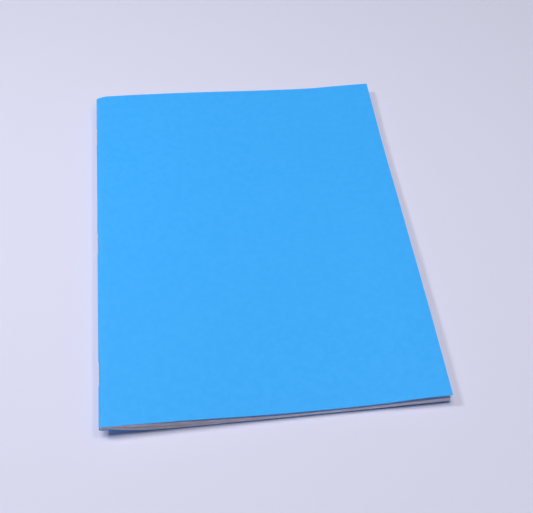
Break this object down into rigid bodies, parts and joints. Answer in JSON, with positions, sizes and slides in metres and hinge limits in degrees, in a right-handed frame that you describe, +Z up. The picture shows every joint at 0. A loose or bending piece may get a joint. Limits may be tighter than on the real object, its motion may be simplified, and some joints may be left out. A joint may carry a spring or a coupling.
{
  "type": "exercise book",
  "caption": "Closed exercise book of folded sheets in a plain blue card cover, held by wire staples, with leaves and front cover that turn.",
  "frame": {"origin": "centre of the bounding box's bottom face, on the table under the closed book", "axes": "+X from the spine to the fore-edge, +Y along the spine to the head, +Z up out of the front cover"},
  "size_m": [0.2166, 0.2794, 0.0119],
  "materials": {
    "cover_card": "matte",
    "paper": "matte",
    "staple_wire": "satin"
  },
  "bodies": {
    "spine": {"cover_back": "cover_card", "sheet_01_fold": "paper", "sheet_02_fold": "paper", "sheet_03_fold": "paper", "sheet_04_fold": "paper", "sheet_05_fold": "paper", "sheet_06_fold": "paper", "sheet_07_fold": "paper", "sheet_08_fold": "paper", "sheet_09_fold": "paper", "sheet_10_fold": "paper", "sheet_11_fold": "paper", "sheet_12_fold": "paper", "staple_tail": "staple_wire", "staple_middle": "staple_wire", "staple_head": "staple_wire"},
    "leaf_01": {"sheet_01_front_leaf": "paper"},
    "leaf_02": {"sheet_02_front_leaf": "paper"},
    "leaf_03": {"sheet_03_front_leaf": "paper"},
    "leaf_04": {"sheet_04_front_leaf": "paper"},
    "leaf_05": {"sheet_05_front_leaf": "paper"},
    "leaf_06": {"sheet_06_front_leaf": "paper"},
    "leaf_07": {"sheet_07_front_leaf": "paper"},
    "leaf_08": {"sheet_08_front_leaf": "paper"},
    "leaf_09": {"sheet_09_front_leaf": "paper"},
    "leaf_10": {"sheet_10_front_leaf": "paper"},
    "leaf_11": {"sheet_11_front_leaf": "paper"},
    "leaf_12": {"sheet_12_front_leaf": "paper"},
    "leaf_13": {"sheet_12_back_leaf": "paper"},
    "leaf_14": {"sheet_11_back_leaf": "paper"},
    "leaf_15": {"sheet_10_back_leaf": "paper"},
    "leaf_16": {"sheet_09_back_leaf": "paper"},
    "leaf_17": {"sheet_08_back_leaf": "paper"},
    "leaf_18": {"sheet_07_back_leaf": "paper"},
    "leaf_19": {"sheet_06_back_leaf": "paper"},
    "leaf_20": {"sheet_05_back_leaf": "paper"},
    "leaf_21": {"sheet_04_back_leaf": "paper"},
    "leaf_22": {"sheet_03_back_leaf": "paper"},
    "leaf_23": {"sheet_02_back_leaf": "paper"},
    "leaf_24": {"sheet_01_back_leaf": "paper"},
    "front_cover": {"cover_front": "cover_card"}
  },
  "joints": [
    {"name": "leaf_24_turn", "type": "hinge", "parent": "spine", "child": "leaf_24", "pos_m": [-0.10522, 0, 0.00952], "axis": [0, -1, 0], "range_deg": [0, 179.99]},
    {"name": "leaf_23_turn", "type": "hinge", "parent": "leaf_24", "child": "leaf_23", "pos_m": [-0.10522, 0, 0.00952], "axis": [0, -1, 0], "range_deg": [0, 179.99]},
    {"name": "leaf_22_turn", "type": "hinge", "parent": "leaf_23", "child": "leaf_22", "pos_m": [-0.10522, 0, 0.00952], "axis": [0, -1, 0], "range_deg": [0, 179.99]},
    {"name": "leaf_21_turn", "type": "hinge", "parent": "leaf_22", "child": "leaf_21", "pos_m": [-0.10522, 0, 0.00952], "axis": [0, -1, 0], "range_deg": [0, 179.99]},
    {"name": "leaf_20_turn", "type": "hinge", "parent": "leaf_21", "child": "leaf_20", "pos_m": [-0.10522, 0, 0.00952], "axis": [0, -1, 0], "range_deg": [0, 179.99]},
    {"name": "leaf_19_turn", "type": "hinge", "parent": "leaf_20", "child": "leaf_19", "pos_m": [-0.10522, 0, 0.00952], "axis": [0, -1, 0], "range_deg": [0, 179.99]},
    {"name": "leaf_18_turn", "type": "hinge", "parent": "leaf_19", "child": "leaf_18", "pos_m": [-0.10522, 0, 0.00952], "axis": [0, -1, 0], "range_deg": [0, 179.99]},
    {"name": "leaf_17_turn", "type": "hinge", "parent": "leaf_18", "child": "leaf_17", "pos_m": [-0.10522, 0, 0.00952], "axis": [0, -1, 0], "range_deg": [0, 179.99]},
    {"name": "leaf_16_turn", "type": "hinge", "parent": "leaf_17", "child": "leaf_16", "pos_m": [-0.10522, 0, 0.00952], "axis": [0, -1, 0], "range_deg": [0, 179.99]},
    {"name": "leaf_15_turn", "type": "hinge", "parent": "leaf_16", "child": "leaf_15", "pos_m": [-0.10522, 0, 0.00952], "axis": [0, -1, 0], "range_deg": [0, 179.99]},
    {"name": "leaf_14_turn", "type": "hinge", "parent": "leaf_15", "child": "leaf_14", "pos_m": [-0.10522, 0, 0.00952], "axis": [0, -1, 0], "range_deg": [0, 179.99]},
    {"name": "leaf_13_turn", "type": "hinge", "parent": "leaf_14", "child": "leaf_13", "pos_m": [-0.10522, 0, 0.00952], "axis": [0, -1, 0], "range_deg": [0, 179.99]},
    {"name": "leaf_12_turn", "type": "hinge", "parent": "leaf_13", "child": "leaf_12", "pos_m": [-0.10522, 0, 0.00952], "axis": [0, -1, 0], "range_deg": [0, 179.99]},
    {"name": "leaf_11_turn", "type": "hinge", "parent": "leaf_12", "child": "leaf_11", "pos_m": [-0.10522, 0, 0.00952], "axis": [0, -1, 0], "range_deg": [0, 179.99]},
    {"name": "leaf_10_turn", "type": "hinge", "parent": "leaf_11", "child": "leaf_10", "pos_m": [-0.10522, 0, 0.00952], "axis": [0, -1, 0], "range_deg": [0, 179.99]},
    {"name": "leaf_09_turn", "type": "hinge", "parent": "leaf_10", "child": "leaf_09", "pos_m": [-0.10522, 0, 0.00952], "axis": [0, -1, 0], "range_deg": [0, 179.99]},
    {"name": "leaf_08_turn", "type": "hinge", "parent": "leaf_09", "child": "leaf_08", "pos_m": [-0.10522, 0, 0.00952], "axis": [0, -1, 0], "range_deg": [0, 179.99]},
    {"name": "leaf_07_turn", "type": "hinge", "parent": "leaf_08", "child": "leaf_07", "pos_m": [-0.10522, 0, 0.00952], "axis": [0, -1, 0], "range_deg": [0, 179.99]},
    {"name": "leaf_06_turn", "type": "hinge", "parent": "leaf_07", "child": "leaf_06", "pos_m": [-0.10522, 0, 0.00952], "axis": [0, -1, 0], "range_deg": [0, 179.99]},
    {"name": "leaf_05_turn", "type": "hinge", "parent": "leaf_06", "child": "leaf_05", "pos_m": [-0.10522, 0, 0.00952], "axis": [0, -1, 0], "range_deg": [0, 179.99]},
    {"name": "leaf_04_turn", "type": "hinge", "parent": "leaf_05", "child": "leaf_04", "pos_m": [-0.10522, 0, 0.00952], "axis": [0, -1, 0], "range_deg": [0, 179.99]},
    {"name": "leaf_03_turn", "type": "hinge", "parent": "leaf_04", "child": "leaf_03", "pos_m": [-0.10522, 0, 0.00952], "axis": [0, -1, 0], "range_deg": [0, 179.99]},
    {"name": "leaf_02_turn", "type": "hinge", "parent": "leaf_03", "child": "leaf_02", "pos_m": [-0.10522, 0, 0.00952], "axis": [0, -1, 0], "range_deg": [0, 179.99]},
    {"name": "leaf_01_turn", "type": "hinge", "parent": "leaf_02", "child": "leaf_01", "pos_m": [-0.10522, 0, 0.00952], "axis": [0, -1, 0], "range_deg": [0, 179.99]},
    {"name": "front_cover_turn", "type": "hinge", "parent": "leaf_01", "child": "front_cover", "pos_m": [-0.10522, 0, 0.00952], "axis": [0, -1, 0], "range_deg": [0, 179.99]}
  ]
}
